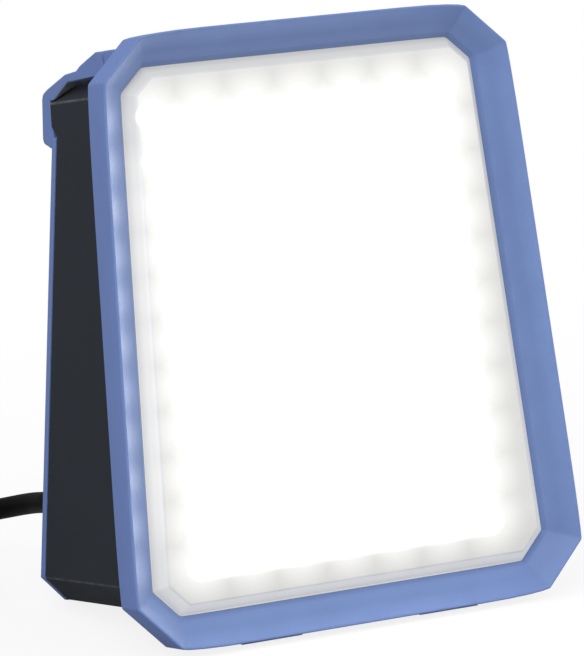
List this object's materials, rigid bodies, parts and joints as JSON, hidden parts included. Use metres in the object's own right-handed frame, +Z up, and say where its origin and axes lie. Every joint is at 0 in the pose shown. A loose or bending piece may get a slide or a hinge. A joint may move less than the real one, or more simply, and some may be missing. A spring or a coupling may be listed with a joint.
{
  "type": "led work light",
  "caption": "Mains LED work light: bumper frame round a recessed diffuser, wedge-shaped housing, swing handle over the rear corner, rear rocker switch and thick rubber cable with plug.",
  "frame": {"origin": "On the ground under the middle of the lamp, midway between its front rim and the rear edge it stands on", "axes": "+Z up, -Y the way the light shines, +X to the right seen from the front"},
  "size_m": [0.4003, 0.3108, 0.2753],
  "materials": {
    "blue_plastic": "satin moulded, light steel blue",
    "dark_plastic": "fine texture, anthracite",
    "diffuser": "frosted white diffuser, lit from behind",
    "black_rubber": "matt",
    "cable_rubber": "smooth black jacket",
    "screw_steel": "zinc plated",
    "sink_aluminium": "extruded, plain",
    "board_white": "white solder mask",
    "phosphor_yellow": "phosphor under clear resin",
    "driver_white": "plain moulded",
    "contact_brass": "bright",
    "switch_black": "glossy",
    "lead_brown": "insulation",
    "lead_blue": "insulation",
    "lead_green": "insulation",
    "lead_red": "insulation"
  },
  "bodies": {
    "lamp": {"front_frame": "blue_plastic", "lens": "diffuser", "lens_gasket": "black_rubber", "frame_screws": "screw_steel", "housing": "dark_plastic", "front_feet": "black_rubber", "rear_feet": "black_rubber", "heat_sink": "sink_aluminium", "led_board": "board_white", "leds": "phosphor_yellow", "sink_screws": "screw_steel", "rear_cover": "blue_plastic", "cover_gasket": "black_rubber", "cover_screws": "screw_steel", "vent_plug": "dark_plastic", "driver_case": "driver_white", "driver_screws": "screw_steel", "terminal_block": "driver_white", "terminal_screws": "contact_brass", "live_lead": "lead_brown", "neutral_lead": "lead_blue", "earth_lead": "lead_green", "led_leads": "lead_red", "switch_body": "switch_black", "switch_tabs": "contact_brass", "handle_pins": "screw_steel", "hinge_caps": "blue_plastic", "gland_body": "dark_plastic", "gland_locknut": "dark_plastic", "gland_seal": "black_rubber", "gland_nut": "dark_plastic", "strain_relief": "cable_rubber", "cable_run": "cable_rubber", "cable_coil": "cable_rubber", "coil_ties": "black_rubber", "plug_body": "cable_rubber", "plug_pins": "contact_brass", "plug_earth_clips": "contact_brass"},
    "handle": {"handle": "blue_plastic"},
    "rocker": {"switch_rocker": "switch_black"}
  },
  "joints": [
    {"name": "handle_swing", "type": "hinge", "parent": "lamp", "child": "handle", "pos_m": [0, -0.00819, 0.25946], "axis": [1, 0, 0], "range_deg": [0, 105]},
    {"name": "rocker_tilt", "type": "hinge", "parent": "lamp", "child": "rocker", "pos_m": [0.05831, 0.06708, 0.05686], "axis": [-1, 0, 0], "range_deg": [-18, 0]}
  ]
}
